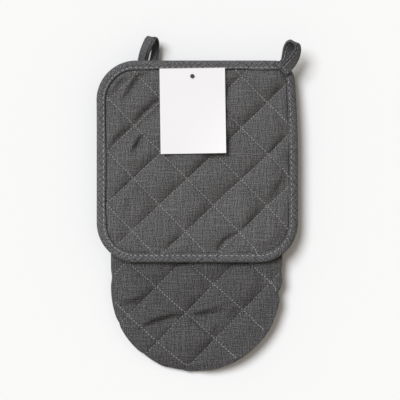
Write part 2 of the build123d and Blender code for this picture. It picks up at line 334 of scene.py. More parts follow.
def ramp(value, start, length):
    # rises smoothly from 0 at the start to 1 one length further
    share = np.clip((value - start) / length, 0, 1)
    return share * share * (3 - 2 * share)


def smoothPath(points, steps):
    # a Catmull-Rom curve through the given points
    points = np.array(points, float)
    padded = np.vstack([2 * points[0] - points[1], points, 2 * points[-1] - points[-2]])
    found = []
    for index in range(1, len(padded) - 2):
        a, b, c, d = padded[index - 1:index + 3]
        for t in np.linspace(0, 1, steps, endpoint=False):
            found.append(0.5 * (2 * b + (c - a) * t + (2 * a - 5 * b + 4 * c - d) * t ** 2
                                + (3 * b - a - 3 * c + d) * t ** 3))
    return np.array(found + [points[-1]])


def tube(name, rings, alongUv, acrossUv, finish, closed, **rides):
    # rings of points, one after another; closed joins the last ring to the first
    count, size = rings.shape[:2]
    points = rings.reshape(-1, 3)
    faces, uv = [], []
    for i in range(count if closed else count - 1):
        for j in range(size):
            after, beside = (i + 1) % count, (j + 1) % size
            faces.append((i * size + j, after * size + j, after * size + beside, i * size + beside))
            uv += [(alongUv[i], acrossUv[j]), (alongUv[i + 1], acrossUv[j]),
                   (alongUv[i + 1], acrossUv[j + 1]), (alongUv[i], acrossUv[j + 1])]
    if not closed:
        for start, order in ((0, range(size)), ((count - 1) * size, reversed(range(size)))):
            cap = [start + j for j in order]
            faces.append(cap)
            uv += [(alongUv[0 if start == 0 else -1], acrossUv[j - start]) for j in cap]
    return makePiece(name, points, faces, uv, finish, **rides)


def runningLength(points, closed=False):
    path = np.vstack([points, points[:1]]) if closed else points
    return np.concatenate([[0], np.cumsum(np.linalg.norm(np.diff(path, axis=0), axis=1))])


def modelStitch(name, length, thickness):
    # one short stitch of thread: a capsule with pinched ends
    bpy.ops.object.select_all(action="DESELECT")
    bpy.ops.mesh.primitive_uv_sphere_add(segments=6, ring_count=5, radius=0.5 * mm, location=(0, 0, 0),
                                         rotation=(0, math.pi / 2, 0))
    shape = bpy.context.object
    shape.name = name
    bpy.ops.object.transform_apply(rotation=True)
    bpy.ops.object.mode_set(mode="EDIT")
    bpy.ops.mesh.select_all(action="SELECT")
    bpy.ops.transform.resize(value=(length, thickness, thickness))
    bpy.ops.object.mode_set(mode="OBJECT")
    points = np.array([vertex.co for vertex in shape.data.vertices]) / mm
    # sorted, so that every run gives the same mesh
    faces = sorted(tuple(face.vertices) for face in shape.data.polygons)
    bpy.data.objects.remove(shape)
    return points, faces


def sew(name, places, length, thickness, sizes=None, **rides):
    # copies one stitch to each place: (point, direction along the seam, direction out of the cloth)
    shape, shapeFaces = modelStitch(name, length, thickness)
    draw = np.random.default_rng(len(places))
    points, faces = [], []
    for (point, along, up), wanted in zip(places, sizes or [1.0] * len(places)):
        along = along / np.linalg.norm(along)
        side = np.cross(up, along)
        side /= np.linalg.norm(side)
        along = along + side * draw.normal(0, 0.07)
        up = np.cross(along, side)
        start = len(points) * len(shape)
        size = wanted * draw.uniform(0.85, 1.12)
        points.append(point + size * shape[:, :1] * along + shape[:, 1:2] * side + shape[:, 2:] * up)
        faces += [[start + index for index in face] for face in shapeFaces]
    return makePiece(name, np.vstack(points), faces, None, "thread", **rides)


def treeOf(piece):
    mesh = piece.data
    points = [vertex.co.copy() for vertex in mesh.vertices]
    return BVHTree.FromPolygons(points, [tuple(face.vertices) for face in mesh.polygons])


def onSurface(surface, x, y, side):
    # height and outward normal of a surface over a point of the plan
    hit = surface.ray_cast(Vector((x * mm, y * mm, side * 0.2)), Vector((0, 0, -side)))
    if hit[0] is None:
        return None, None
    normal = np.array(hit[1])
    if normal[2] * side < 0:
        normal = -normal
    return hit[0].z / mm, normal


def sewPlan(surface, plan, side, sink):
    # places for stitches on a surface: plan holds (x, y, direction x, direction y)
    places = []
    for x, y, dx, dy in plan:
        z, normal = onSurface(surface, x, y, side)
        if z is None:
            continue
        along = np.array([dx, dy, 0.0])
        along -= normal * (along @ normal)
        places.append((np.array([x, y, z]) - normal * sink, along, normal))
    return places


class Quilt:
    # two families of parallel lines; each is a direction, a point on one line and the shared pitch

    def __init__(self, turns, points, pitch, stitches):
        self.pitch = pitch
        self.reach = 8  # lines to each side of the first one
        self.ways = [np.array([math.cos(math.radians(turn)), math.sin(math.radians(turn))]) for turn in turns]
        self.across = [np.array([-way[1], way[0]]) for way in self.ways]
        self.anchors = [np.array(point) for point in points]
        self.bases = [anchor @ across for anchor, across in zip(self.anchors, self.across)]
        self.stitches = stitches

    def offset(self, xy, family):
        # signed distance to the nearest line of a family
        off = (xy @ self.across[family] - self.bases[family]) / self.pitch
        return (off - np.round(off)) * self.pitch

    def distance(self, xy, family):
        return np.abs(self.offset(xy, family))

    def crossing(self, first, second):
        places = [self.bases[0] + first * self.pitch, self.bases[1] + second * self.pitch]
        return np.linalg.solve(np.array(self.across), np.array(places))

    def lines(self, family, steps):
        # each line as points, a whole number of steps between crossings
        found = []
        reach = self.reach
        for line in range(-reach, reach + 1):
            ends = [(line, -reach), (line, reach)] if family == 0 else [(-reach, line), (reach, line)]
            first, last = self.crossing(*ends[0]), self.crossing(*ends[1])
            share = np.linspace(0, 1, 2 * reach * steps + 1)[:, None]
            found.append(first + (last - first) * share)
        return found


def quiltMesh(edge, rings, quilt, inside, lineEnd, fillEnd, spacing, seed):
    # triangles that follow the outline and every quilting line
    draw = np.random.default_rng(seed)
    points, besides = [edge], []
    edges = [(i, (i + 1) % len(edge)) for i in range(len(edge))]
    count = len(edge)
    for family in (0, 1):
        for line in quilt.lines(family, 2 * quilt.stitches):
            kept = inside(line) > lineEnd
            where = np.flatnonzero(kept)
            if len(where) < 2:
                continue
            points.append(line[where])
            edges += [(count + k, count + k + 1) for k in np.flatnonzero(np.diff(where) == 1)]
            count += len(where)
            for gap in (-1.0, -0.45, 0.45, 1.0):
                beside = line[where] + quilt.across[family] * gap
                besides.append(beside[quilt.distance(beside, 1 - family) > 0.4])

    def clearOfLines(xy, gap):
        return np.minimum(quilt.distance(xy, 0), quilt.distance(xy, 1)) > gap

    for ring in rings:
        points.append(ring[clearOfLines(ring, 1.4) | (inside(ring) <= lineEnd)])
    low, high = edge.min(0), edge.max(0)
    rows = np.arange(low[1], high[1], spacing * 0.87)
    grid = np.array([(x + (row % 2) * spacing / 2, y) for row, y in enumerate(rows)
                     for x in np.arange(low[0], high[0], spacing)])
    grid += draw.uniform(-0.22, 0.22, grid.shape) * spacing
    grid = grid[(inside(grid) > fillEnd) & clearOfLines(grid, 1.6)]
    points += [grid] + besides
    made = geometry.delaunay_2d_cdt([Vector(p) for p in np.vstack(points)], edges, [], 1, 1e-3, False)
    flat = np.array([tuple(p) for p in made[0]])
    faces = np.array(made[2])
    a, b, c = flat[faces[:, 0]], flat[faces[:, 1]], flat[faces[:, 2]]
    turned = (b[:, 0] - a[:, 0]) * (c[:, 1] - a[:, 1]) - (b[:, 1] - a[:, 1]) * (c[:, 0] - a[:, 0])
    faces[turned < 0] = faces[turned < 0][:, ::-1]
    return flat, faces


def outerLoop(faces):
    # vertices of the one open edge, in order
    sides = dict.fromkeys(pair for a, b, c in faces for pair in ((a, b), (b, c), (c, a)))
    after = {a: b for a, b in sides if (b, a) not in sides}
    start = next(iter(after))
    loop = [start]
    while after[loop[-1]] != start:
        loop.append(after[loop[-1]])
    return loop


def closedPad(name, flat, faces, top, bottom, finish, lining=None, linedTop=False, **rides):
    # a pad from one flat mesh: its top and bottom, joined round the outline, and a lining on one of them
    count = len(flat)
    loop = outerLoop(faces)
    rim = [(b, a, a + count, b + count) for a, b in zip(loop, loop[1:] + loop[:1])]
    allFaces = [tuple(face) for face in faces] + [tuple(count + face[::-1]) for face in faces] + rim
    plan = np.vstack([flat, flat + (7.3, 3.1)])
    uv = plan[np.concatenate([np.array(face) for face in allFaces])]
    used = [finish, lining] if lining else [finish]
    piece = makePiece(name, np.vstack([top, bottom]), allFaces, uv, used, **rides)
    if lining:
        marks = np.zeros(len(allFaces), np.int32)
        start = 0 if linedTop else len(faces)
        marks[start:start + len(faces)] = 1
        piece.data.polygons.foreach_set("material_index", marks)
    return piece


def puffed(xy, quilt, look):
    # share of the full puff left standing beside each family of lines; the cloth has one slope
    # below the line and another above it, each a wide part and a tight part at the stitches
    share = 1.0
    loose = 1 + 0.25 * np.clip(waves(xy, 55, 17), -1.6, 1.6)
    for family, slopes in enumerate(look["slopes"]):
        off = quilt.offset(xy, family)
        away = np.abs(off)
        for (wide, shoulder, tight, tuck), here in zip(slopes, (off < 0, off >= 0)):
            pressed = wide * np.clip(1 - away / (shoulder * loose), 0, 1) ** 2
            pressed += tight * np.clip(1 - away / tuck, 0, 1) ** 3
            share = share * np.where(here, 1 - pressed, 1)
    return share


def creases(xy, quilt, look):
    # soft folds: each is a path, how deep and how wide it is; the cloth falls in steeply from the upper
    # left and comes out gently, and the fold fades towards the path's ends. Pressed places are folds
    # along one line of the second family: its number, where it starts and ends along the line
    total = np.zeros(len(xy))
    folds = list(look["folds"])
    for line, start, end, depth, width in look["pressed"]:
        spot = quilt.across[1] * (quilt.bases[1] + line * quilt.pitch)
        spot = spot + quilt.ways[1] * (quilt.anchors[1] @ quilt.ways[1])
        folds.append(([spot + quilt.ways[1] * run for run in (start, (start + end) / 2, end)], depth, width))
    for path, depth, width in folds:
        line = smoothPath([(*p, 0) for p in path], 12)[:, :2]
        share = np.sin(np.linspace(0.12, math.pi - 0.12, len(line)))
        off = xy[:, None, :] - line[None, :, :]
        away = np.sqrt((off ** 2).sum(2))
        steep = off @ np.array([-0.6, 0.8]) > 0
        reach = width * (0.5 + 0.5 * share) * np.where(steep == (depth > 0), 0.6, 1.5)
        total -= depth * (share * np.exp(-(away / reach) ** 2)).max(1)
    return total


holder = {
    "corner": 39.5,
    "loopCorner": 19.5,
    "shift": -0.6,
    "lean": 4.2,           # the right side draws in towards the loop
    "leanUp": (62, 93),    # where the lean starts, and over what length it grows
    "leanAcross": (20, 80),
    "drift": ((62, 18), 55, (1.9, 1.8)),  # the quilting wanders: where, how far round, how much
    "quiltTurns": (-46.2, 43.1),
    "quiltPoints": ((18.7, 66.1), (-36.1, 67.5)),
    "pitch": 37,
    "stitches": 12,
    "spacing": 1.3,
    "bindingWidth": 8.7,
    # the cloth comes up out of the crease beside the binding: how far, from where, over what
    # length and how steeply
    "besideBinding": (1, 0.6, 1.6, 0.6),
    "puffOver": 12,        # how far in from the binding the pillows reach their full height
    "sinkFrom": (6, 3),    # where the cloth sinks to the stitching, and over what length
    "foldFrom": (9, 5),
    "freeFrom": (8, 5),    # where the quilting is free to wander
    "edgeOver": 1.5,       # the cloth closes over this much of its edge
    "edgeHeight": 1.7,     # half thickness under the binding
    "valley": -2.2,        # height of the stitching above the middle, seen from the front
    "puffHeight": 5.3,
    "backValley": 1.5,
    "backPuff": 1.5,
    "ceiling": (4.1, 0.25),    # the pillows flatten at this height, as softly as this
    "uneven": ((0.28, 46), (0.1, 15), (0.025, 6)),
    "droop": (4.5, 5.7),   # how far the left and right sides sink beside the mitt
    "droopMiddle": 1.5,
    "droopFrom": 66,
    "droopOver": 34,
    "droopTop": (95, 45),      # from here up the droop changes, over this length
    "droopKept": (1, -0.25),   # share of it that the left and right sides lose there
    # quilting line families: (wide, shoulder, tight, tuck) below and above the line
    "slopes": (((0.6, 15, 0.1, 2), (0.6, 15, 0.1, 2)),
               ((0.8, 17, 0.12, 3), (0.85, 17, 0.12, 2.5))),
    "folds": (
        (((-52, 146.5), (-58.5, 138), (-65, 128.5), (-70, 120)), 6.2, 6),
        (((-59, 149), (-65.5, 140.5), (-72, 131)), -2.6, 4.6),
        (((-66, 146), (-73, 139), (-80, 131)), 3, 4.2),
        (((-53.5, 86), (-56.5, 78), (-61, 68)), 7.5, 4.2),
        (((-68, 23), (-65.5, 10), (-58, -3)), 2.6, 5),
        (((84, 43), (80, 32), (72, 19)), 2.3, 6),
        (((35, -15), (28, -22), (20, -31)), 4.4, 5.6),
        (((64, 97), (70, 92), (73, 86)), 1.3, 6),
    ),
    "pressed": (
        (1, 0, 42, 5.2, 9), (1, -38, 4, 3, 8), (0, -34, -2, 1.6, 7), (0, 92, 116, 1.8, 6.5),
        (-1, -34, 2, 1.6, 8.5), (-1, 2, 38, 1.7, 8.5), (-1, 70, 114, 1.6, 11), (-1, 114, 140, 2.2, 6),
        (-2, 3, 38, 1.6, 8.5), (-2, 36, 60, 1.1, 7.5), (-2, 80, 108, 1.9, 7), (-2, -30, 4, 1.3, 7),
        (-2, -68, -42, 1.7, 6.5), (-3, 10, 48, 1.7, 9), (-3, -28, 2, 2.4, 7),
    ),
}
bindingLow, bindingHigh = cadBox("holder_binding")
holderMiddle = (bindingLow[2] + bindingHigh[2]) / 2
holderQuilt = Quilt(holder["quiltTurns"], holder["quiltPoints"], holder["pitch"], holder["stitches"])


def holderInside(xy):
    # distance in from the rounded square's edge
    centre = (bindingLow[:2] + bindingHigh[:2]) / 2
    half = (bindingHigh[:2] - bindingLow[:2]) / 2
    off = xy - centre
    radius = np.where((off[:, 0] > 0) & (off[:, 1] > 0), holder["loopCorner"], holder["corner"])
    past = np.abs(off) - half + radius[:, None]
    outside = np.hypot(np.maximum(past[:, 0], 0), np.maximum(past[:, 1], 0))
    return radius - outside - np.minimum(past.max(1), 0)


def holderEdge(spacing):
    # points and inward normals round the rounded square, counter-clockwise
    low, high = bindingLow[:2], bindingHigh[:2]
    points, normals = [], []
    for corner, start in (((0, 0), 180), ((1, 0), 270), ((1, 1), 0), ((0, 1), 90)):
        radius = holder["loopCorner"] if corner == (1, 1) else holder["corner"]
        centre = [(low, high)[pick][axis] + (1 - 2 * pick) * radius for axis, pick in enumerate(corner)]
        steps = int(math.pi / 2 * radius / spacing)
        angles = np.radians(np.linspace(start, start + 90, steps + 1))
        ways = np.column_stack([np.cos(angles), np.sin(angles)])
        points.append(np.array(centre) + radius * ways)
        normals.append(-ways)
    allPoints, allNormals = [], []
    for k in range(4):
        first, last = points[k][-1], points[(k + 1) % 4][0]
        share = np.linspace(0, 1, int(np.linalg.norm(last - first) / spacing) + 1)[1:-1, None]
        allPoints += [points[k], first + (last - first) * share]
        allNormals += [normals[k], np.repeat(normals[k][-1:], len(share), axis=0)]
    return np.vstack(allPoints), np.vstack(allNormals)


def sagged(points):
    # both sides sink beside the mitt; towards the top the left one sinks less and the right one more
    moved = np.array(points, float)
    out = np.abs(moved[:, 0] - holder["droopMiddle"])
    beside = np.clip((out - holder["droopFrom"]) / holder["droopOver"], 0, None) ** 2
    left = moved[:, 0] < 0
    kept = np.where(left, *holder["droopKept"]) * ramp(moved[:, 1], *holder["droopTop"])
    moved[:, 2] -= np.where(left, *holder["droop"]) * beside * (1 - kept)
    return moved


def holderLean(points):
    # the finished shape: sagging, and the right side leans in near the loop
    moved = sagged(points)
    start, length = holder["leanUp"]
    rise = np.clip((moved[:, 1] - start) / length, 0, None)
    start, length = holder["leanAcross"]
    share = np.clip((moved[:, 0] - start) / length, 0, 1)
    moved[:, 0] += holder["shift"] - holder["lean"] * rise ** 2 * share
    return moved


def drifted(points, drift, free):
    # quilting lines are never quite straight: the cloth moved bodily inside its bound edge
    moved = np.array(points, float)
    (x, y), reach, step = drift
    share = np.exp(-((moved[:, 0] - x) ** 2 + (moved[:, 1] - y) ** 2) / (2 * reach ** 2))
    moved[:, :2] += np.outer(share * free, step)
    return moved


def holderCloth(points):
    points = np.array(points, float)
    free = ramp(holderInside(points[:, :2]), *holder["freeFrom"])
    return holderLean(drifted(points, holder["drift"], free))


def holderHeight(xy, side):
    inside = holderInside(xy)
    share = puffed(xy, holderQuilt, holder)
    seam = holder["bindingWidth"]
    near = ramp(inside, seam - 0.5, holder["puffOver"])
    valley, rise = ("valley", "puffHeight") if side > 0 else ("backValley", "backPuff")
    lift = holder[rise] * share * near
    sunk = ramp(inside, *holder["sinkFrom"]) * (0.35 + 0.65 * near)
    base = holder["edgeHeight"] + (holder[valley] - holder["edgeHeight"]) * sunk
    step, start, length, power = holder["besideBinding"]
    base += step * np.clip((inside - seam - start) / length, 0, 1) ** power
    uneven = unevenness(xy, holder, (11 * side + 40, side + 7, side + 3))
    height = base + lift + uneven * near * (0.25 + 0.75 * share)
    if side > 0:
        height += creases(xy, holderQuilt, holder) * ramp(inside, *holder["foldFrom"])
        top, soft = holder["ceiling"]
        height = np.minimum(height, top + soft * np.tanh((height - top) / soft))
    return height * np.clip(inside / holder["edgeOver"], 0.15, 1)


def makeHolderPad():
    edge, normals = holderEdge(1.6)
    rim, *rings = [edge + normals * inset for inset in (1.2, 3.0, 5.0, 7.0, 8.2, 9.0, 9.6, 10.4, 11.5)]
    flat, faces = quiltMesh(rim, rings, holderQuilt, holderInside, 4.0, 12.3, holder["spacing"], 5)
    under = holderHeight(flat, -1)
    over = np.maximum(holderHeight(flat, 1), 0.7 - under)
    front = np.column_stack([flat, holderMiddle + over])
    back = np.column_stack([flat, holderMiddle - under])
    pad = closedPad("holderPad", flat, faces, holderCloth(front), holderCloth(back), "holderLinen",
                    body="pot_holder", slot="holder_cloth",
                    replaced=("holder_front_cloth", "holder_back_cloth", "holder_wadding"))
    return pad


binding = {
    "cloth": 0.8,
    "stitchPitch": 5.3,
    "stitchIn": 7,
    "stitch": (3.6, 0.75),  # length and thickness
    "pucker": 0.22,
    "puckerAt": (5.5, 3.4),  # distance in from the edge, and width
    "puckerLean": 0.9,
    "puckerFull": 2.2,     # at this height the skin moves by the whole pucker
    "wander": 0.3,
    "wanderFrom": 7,
    # half section: distance in from the edge and height above the middle
    "skin": ((9, 1.5), (9.15, 2.2), (8.8, 2.85), (8, 3.05), (6.9, 2.75), (5.2, 3.1), (3.2, 3.05),
             (1.5, 2.35), (0.5, 1.4), (0.08, 0.5)),
}


def bindingSection():
    skin = np.array(binding["skin"])
    front = smoothPath([(*p, 0) for p in skin], 3)[:, :2]
    inner = front[::-1].copy()
    inner[:, 0] += binding["cloth"] * 0.9 * np.clip(1 - inner[:, 0] / 6, 0, 1)
    inner[:, 1] = np.maximum(inner[:, 1] - binding["cloth"], 0.2)
    inner[-1] = front[0] - (0.0, 0.55)
    return np.vstack([front, (front * (1, -1))[::-1], (inner * (1, -1))[::-1], inner])


def makeHolderBinding():
    edge, normals = holderEdge(1.0)
    section = bindingSection()
    inset, height = section[:, 0], section[:, 1]
    skin = np.clip(height / binding["puckerFull"], -1, 1)
    place, width = binding["puckerAt"]
    puckered = binding["pucker"] * np.exp(-((inset - place) / width) ** 2)
    run = runningLength(edge, closed=True)
    stitches = round(run[-1] / binding["stitchPitch"])
    phase = math.tau * stitches * run[:-1] / run[-1]
    wander = binding["wander"] * waves(np.column_stack([run[:-1], run[:-1] * 0]), 55, 21)
    rings = []
    for k in range(len(edge)):
        ripple = puckered * np.cos(phase[k] - inset * binding["puckerLean"])
        moved = inset + wander[k] * (inset > binding["wanderFrom"])
        rings.append(np.column_stack([edge[k] + normals[k] * moved[:, None],
                                      holderMiddle + height + ripple * skin]))
    rings = np.array(rings)
    rings = holderLean(rings.reshape(-1, 3)).reshape(rings.shape)
    across = runningLength(section, closed=True)
    piece = tube("holderBinding", rings[::-1], run, across, "biasBinding", True, body="pot_holder",
                 slot="binding", replaced=("holder_binding",))
    return piece, stitches


def bindingStitches(surface, count):
    spacing = 0.5
    edge, normals = holderEdge(spacing)
    run = runningLength(edge, closed=True)[:-1]
    total = run[-1] + spacing
    places = []
    for side in (1, -1):
        plan = []
        for index in range(count):
            k = int(np.searchsorted(run, (index + 0.5) / count * total)) % len(edge)
            ahead = edge[(k + 1) % len(edge)] - edge[k - 1]
            spot = holderLean([(*(edge[k] + normals[k] * binding["stitchIn"]), 0)])[0]
            plan.append((spot[0], spot[1], ahead[0], ahead[1]))
        places += sewPlan(surface, plan, side, 0.0)
    sew("holderBindingStitches", places, *binding["stitch"], body="pot_holder", slot="thread",
        replaced=("holder_binding_stitching",))


# for each family of quilting lines: how deep its stitches sink, and their size; the first family's
# stitches lie proud, the second's sink into the seam
quiltStitch = {"length": 1.9, "thickness": 0.8, "sink": (-0.3, 0.12), "size": (1.12, 0.8)}


def quiltPlan(quilt, family, inside, lineEnd):
    plan = []
    for line in quilt.lines(family, quilt.stitches):
        middles = (line[1:] + line[:-1]) / 2
        way = quilt.ways[family]
        for x, y in middles[inside(middles) > lineEnd]:
            plan.append((x, y, way[0], way[1]))
    return plan


def sewQuilting(name, pad, quilt, inside, lineEnd, shape, side, **rides):
    surface = treeOf(pad)
    places, sizes = [], []
    for family in (0, 1):
        plan = quiltPlan(quilt, family, inside, lineEnd)
        spots = shape([(x, y, 0) for x, y, dx, dy in plan])
        plan = [(spot[0], spot[1], way[2], way[3]) for spot, way in zip(spots, plan)]
        found = sewPlan(surface, plan, side, quiltStitch["sink"][family])
        places += found
        sizes += [quiltStitch["size"][family]] * len(found)
    sew(name, places, quiltStitch["length"], quiltStitch["thickness"], sizes, slot="thread", **rides)


def holderStitches():
    for name, side, node in (("holderFrontStitches", 1, "holder_front_quilting"),
                             ("holderBackStitches", -1, "holder_back_quilting")):
        sewQuilting(name, holderPad, holderQuilt, holderInside, holder["bindingWidth"] + 0.8, holderCloth,
                    side, body="pot_holder", replaced=(node,))


holderPad = makeHolderPad()
holderBinding, bindingCount = makeHolderBinding()
bindingStitches(treeOf(holderBinding), bindingCount)
holderStitches()
print("pot holder sewn")

mitt = {
    "backTurns": (-41.5, 45.5),
    "backPoints": ((-7.4, -41.4), (-17.1, -41.4)),
    "palmTurns": (-43, 43),
    "pitch": 39,
    "stitches": 12,
    "spacing": 1.35,
    "puffHeight": 5.3,
    "uneven": ((0.3, 50), (0.1, 16), (0.025, 6)),
    "slopes": (((0.5, 14, 0.1, 2), (0.5, 14, 0.1, 2)),
               ((0.78, 17, 0.14, 3), (0.84, 19, 0.12, 3))),
    "wall": 2.6,           # cloth, wadding and lining together at the quilting
    "fullness": (2.15, 1.98),  # left and right of the tip
    "tipLength": 1,
    "drawIn": (1.9, 1),    # how far a quilting line of each family pulls the edge in
    "drawWidth": 4,
    "drawReach": 14,
    "bulge": 0.4,          # how far the edge stands out between the lines
    "notches": (((84.7, -70.5), 3.2, 6), ((81, -88), 1, 14)),
    "peeks": ((-34, 1.3, 6.5), (-11, 1.4, 7)),  # the palm shows past the tip: place, length, reach
    "drift": ((46, -62), 26, (1.1, 1.2)),
    # height of the seam above or below the middle, round the tip from the right side to the left
    "seamTurns": (-60, 0, 30, 62, 80, 92, 110, 150, 180, 240),
    "seamRise": (5.5, 6, 6.6, 6.2, 1.6, -3, -3.5, 0.2, 1.4, 1.8),
    "riseReach": 30,
    "freeOver": 5,         # the quilting is free to wander past this distance from the seam
    "puffFrom": (2, 8),    # past the cuff's binding: where the pillows start, and over what length
    "opensFrom": (5, 9),   # in from the seam: where the pocket opens, and over what length
    # how far in from the seam the cloth is still rounding over
    "roll": (16, 22, 36, 38, 28, 24, 24, 32, 34, 16),
    "rollPower": 2.8,
    "backSeed": 31,
    "palmSeed": 57,
    "seamPitch": 3,
    "seamStitch": (2.2, 0.6),
    "bindingWidth": 10,
    "folds": (
        (((-52.5, -103.5), (-41, -99.5), (-28, -96.5), (-13, -94)), 7, 5),
        (((-8, -93.5), (9, -93), (28, -92)), 7.6, 6.6),
        (((29, -96), (36, -92), (44, -86)), 1.7, 5),
        (((-77, -82), (-66, -81), (-54, -76)), 4.2, 5.4),
        (((-40, -79), (-30, -80)), 1.2, 4),
        (((-20, -107), (-10, -105), (-3, -102)), 1.6, 4.6),
        (((20.5, -112), (19, -106), (21, -100)), 0.9, 4),
    ),
    "pressed": (
        (-1, -34, -6, 1.5, 7), (-2, -2, 44, 1.1, 13), (-1, -72, -48, 1, 7), (-2, -72, -34, 1.3, 8),
    ),
}
mittLow, mittHigh = cadBox("mitt_back_cloth")
mittRadius = mittHigh[0]
cuffEnd = cadBox("mitt_cuff_binding")[1][1]
mittTop = mittHigh[2]
mittMiddle = mittTop / 2
tipCentre = mittLow[1] + mittRadius
backQuilt = Quilt(mitt["backTurns"], mitt["backPoints"], mitt["pitch"], mitt["stitches"])
halfPitch = mitt["pitch"] / 2
palmPoints = [(-halfPitch * math.sin(math.radians(turn)), halfPitch * math.cos(math.radians(turn)))
              for turn in mitt["palmTurns"]]
palmQuilt = Quilt(mitt["palmTurns"], palmPoints, mitt["pitch"], mitt["stitches"])


def mittInside(xy):
    tip = mittRadius - np.hypot(xy[:, 0], xy[:, 1] - tipCentre)
    return np.where(xy[:, 1] < tipCentre, tip, mittRadius - np.abs(xy[:, 0]))


def mittEdge(inset, spacing, end):
    # from the cuff down the left side, round the tip and up to the cuff
    radius = mittRadius - inset
    straight = np.arange(end, tipCentre, -spacing)
    turns = np.linspace(math.pi, math.tau, int(math.pi * radius / spacing) + 1)
    tip = np.column_stack([radius * np.cos(turns), tipCentre + radius * np.sin(turns)])
    left = np.column_stack([np.full(len(straight), -radius), straight])
    return np.vstack([left, tip, (left * (-1, 1))[::-1]])


def aroundTip(xy, values):
    # a value for each point from its direction round the tip's centre
    turn = (np.degrees(np.arctan2(tipCentre - xy[:, 1], xy[:, 0])) + 90) % 360 - 90
    return np.interp(turn, mitt["seamTurns"], mitt[values])


def mittShape(points, quilt, side=1):
    # the sewn outline: fuller at the tip, drawn in where quilting reaches the seam; the seam rises off
    # the table on the right and sinks towards it at the tip
    moved = np.array(points, float)
    flat = moved[:, :2].copy()
    inside = mittInside(flat)
    off = flat - (0, tipCentre)
    reach = np.hypot(off[:, 0], off[:, 1])
    ways = off / np.maximum(reach, 1e-6)[:, None]
    power = np.interp(ways[:, 0], (-0.3, 0.3), mitt["fullness"])
    full = (np.abs(ways[:, 0]) ** power + np.abs(ways[:, 1]) ** power) ** (-1 / power)
    rim = np.clip(reach / mittRadius, 0, 1) ** 2
    low = flat[:, 1] < tipCentre
    scale = np.where(low, 1 + (full - 1) * rim, 1)
    edge = np.clip(1 - inside / mitt["drawReach"], 0, 1) ** 1.5
    drawn = -mitt["bulge"] * edge
    for family, depth in enumerate(mitt["drawIn"]):
        drawn += depth * np.exp(-(quilt.distance(flat, family) / mitt["drawWidth"]) ** 2) * edge
    for (x, y), depth, wide in mitt["notches"]:
        drawn += depth * np.exp(-((flat[:, 0] - x) ** 2 + (flat[:, 1] - y) ** 2) / wide ** 2)
    sideways = np.where(low[:, None], ways, np.column_stack([np.sign(flat[:, 0]), np.zeros(len(flat))]))
    moved[:, :2] = (0, tipCentre) + off * scale[:, None] - sideways * drawn[:, None]
    down = np.clip(-off[:, 1] / mittRadius, 0, 1) ** 3
    moved[:, 1] -= mitt["tipLength"] * down
    if side < 0:
        for place, longer, wide in mitt["peeks"]:
            moved[:, 1] -= longer * down * edge * np.exp(-((flat[:, 0] - place) / wide) ** 2)
    free = ramp(inside, 0, mitt["freeOver"])
    moved = drifted(moved, mitt["drift"], free) if side > 0 else moved
    rise = aroundTip(flat, "seamRise") * np.clip(1 - inside / mitt["riseReach"], 0, 1) ** 1.5
    above = moved[:, 2] - mittMiddle
    thick = mittMiddle - 0.3
    squeeze = np.where(above * rise > 0, 1 - np.abs(rise) / thick, 1)
    moved[:, 2] = mittMiddle + rise + above * squeeze
    return moved


def mittOuter(xy, quilt, seed, folded):
    inside = mittInside(xy)
    roll = 1 - (1 - np.clip(inside / aroundTip(xy, "roll"), 0, 1)) ** mitt["rollPower"]
    atCuff = ramp(cuffEnd - mitt["bindingWidth"] - xy[:, 1], *mitt["puffFrom"])
    share = puffed(xy, quilt, mitt)
    full = mittMiddle - 0.25 - mitt["puffHeight"] * (1 - share * atCuff) * (0.35 + 0.65 * roll)
    soft = unevenness(xy, mitt, (seed, seed + 1, seed + 2)) * (0.3 + 0.7 * share)
    if folded:
        soft += creases(xy, quilt, mitt)
    height = full * (0.06 + 0.94 * roll) + soft * roll * atCuff
    return np.minimum(height, mittMiddle)


def mittInner(xy, quilt, seed):
    opened = ramp(mittInside(xy), *mitt["opensFrom"])
    bottom = mittMiddle - mitt["wall"] - mitt["puffHeight"] + 1.4 * (1 - puffed(xy, quilt, mitt))
    return 0.15 + (bottom - 0.15 + 0.1 * waves(xy, 20, seed)) * opened


def makeMittPad(name, quilt, side, folded, replaced, seed):
    end = cuffEnd - 0.6
    edge = mittEdge(0, 1.6, end)
    rim = np.column_stack([np.linspace(mittRadius, -mittRadius, 108)[1:-1], np.full(106, end)])
    rings = [mittEdge(inset, 1.6, end)[1:-1] for inset in (0.5, 1.3, 2.4, 3.8, 5.6, 7.6, 9.8)]
    rings.append(rim[3:-3] - (0, 1.5))

    def inside(xy):
        return np.minimum(mittInside(xy), end - xy[:, 1])

    flat, faces = quiltMesh(np.vstack([edge, rim]), rings, quilt, inside, 1.0, 2.2, mitt["spacing"], seed)
    outer = mittOuter(flat, quilt, seed, folded)
    inner = np.minimum(mittInner(flat, quilt, seed), outer - 0.3)
    outer, inner = [mittShape(np.column_stack([flat, mittMiddle + side * height]), quilt, side)
                    for height in (outer, inner)]
    top, bottom = (outer, inner) if side > 0 else (inner, outer)
    pad = closedPad(name, flat, faces, top, bottom, "mittLinen", "liningCotton", side < 0, body="mitt",
                    slot="mitt_cloth", replaced=replaced)
    return pad


mittBackPad = makeMittPad("mittBackPad", backQuilt, 1, True,
                          ("mitt_back_cloth", "mitt_back_wadding", "mitt_back_lining"), mitt["backSeed"])
mittPalmPad = makeMittPad("mittPalmPad", palmQuilt, -1, False,
                          ("mitt_palm_cloth", "mitt_palm_wadding", "mitt_palm_lining"), mitt["palmSeed"])


